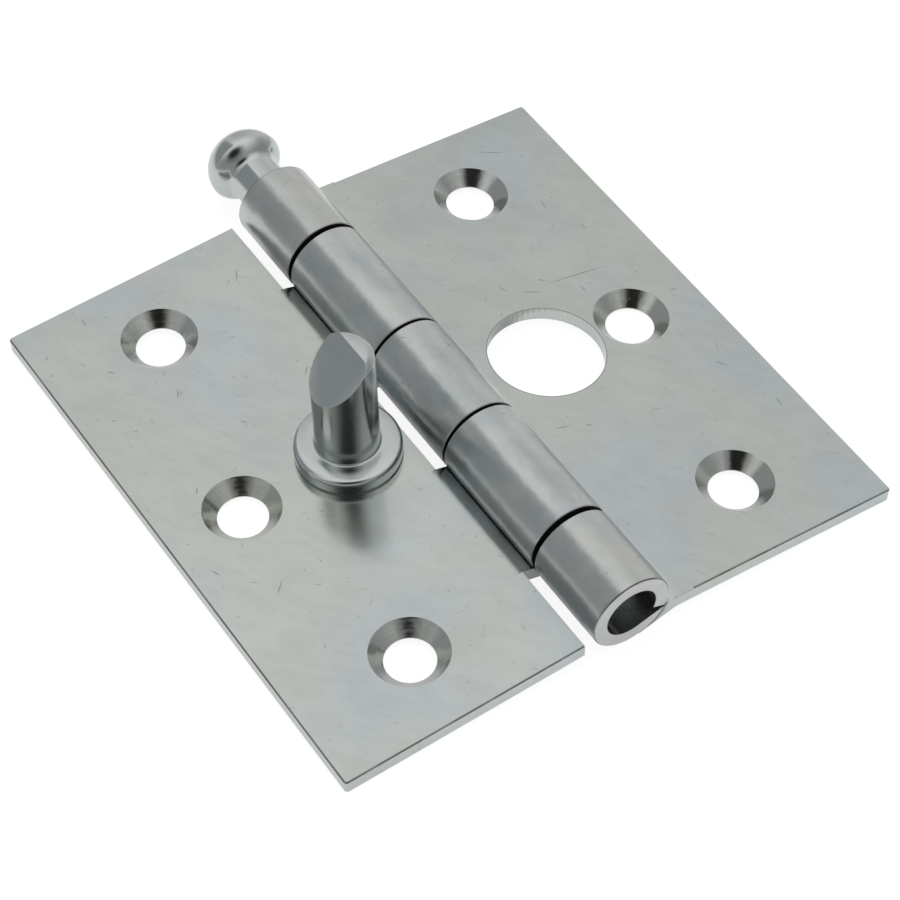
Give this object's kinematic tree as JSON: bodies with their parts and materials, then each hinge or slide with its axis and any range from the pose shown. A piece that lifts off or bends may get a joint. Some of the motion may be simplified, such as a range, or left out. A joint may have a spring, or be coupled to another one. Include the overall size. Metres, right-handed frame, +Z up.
{
  "type": "security butt hinge",
  "caption": "Pressed steel butt hinge with rolled knuckles, a loose ball-headed pin and a bevelled security stud that enters a hole in the facing leaf.",
  "frame": {"origin": "on the surface that the open hinge lies on, under the pin's axis, midway between the lower end of the leaves and the top of the pin's head", "axes": "+Y along the pin towards its head, +X across to the leaf with three knuckles, +Z up, away from the surface"},
  "size_m": [0.088, 0.102, 0.0246],
  "materials": {
    "plated_sheet": "bright zinc plated sheet steel, satin gloss",
    "plated_stud": "bright zinc plated turned steel",
    "plated_pin": "bright zinc plated turned steel"
  },
  "bodies": {
    "receiver_leaf": {"leaf_three_knuckles": "plated_sheet"},
    "stud_leaf": {"leaf_two_knuckles": "plated_sheet", "security_stud": "plated_stud"},
    "pin": {"hinge_pin": "plated_pin"}
  },
  "joints": [
    {"name": "leaf_swing", "type": "hinge", "parent": "receiver_leaf", "child": "stud_leaf", "pos_m": [0, -0.00647, 0.006], "axis": [0, 1, 0], "range_deg": [-120, 186.2]},
    {"name": "pin_draw", "type": "slide", "parent": "receiver_leaf", "child": "pin", "axis": [0, 1, 0], "range_m": [0, 0.082]}
  ]
}
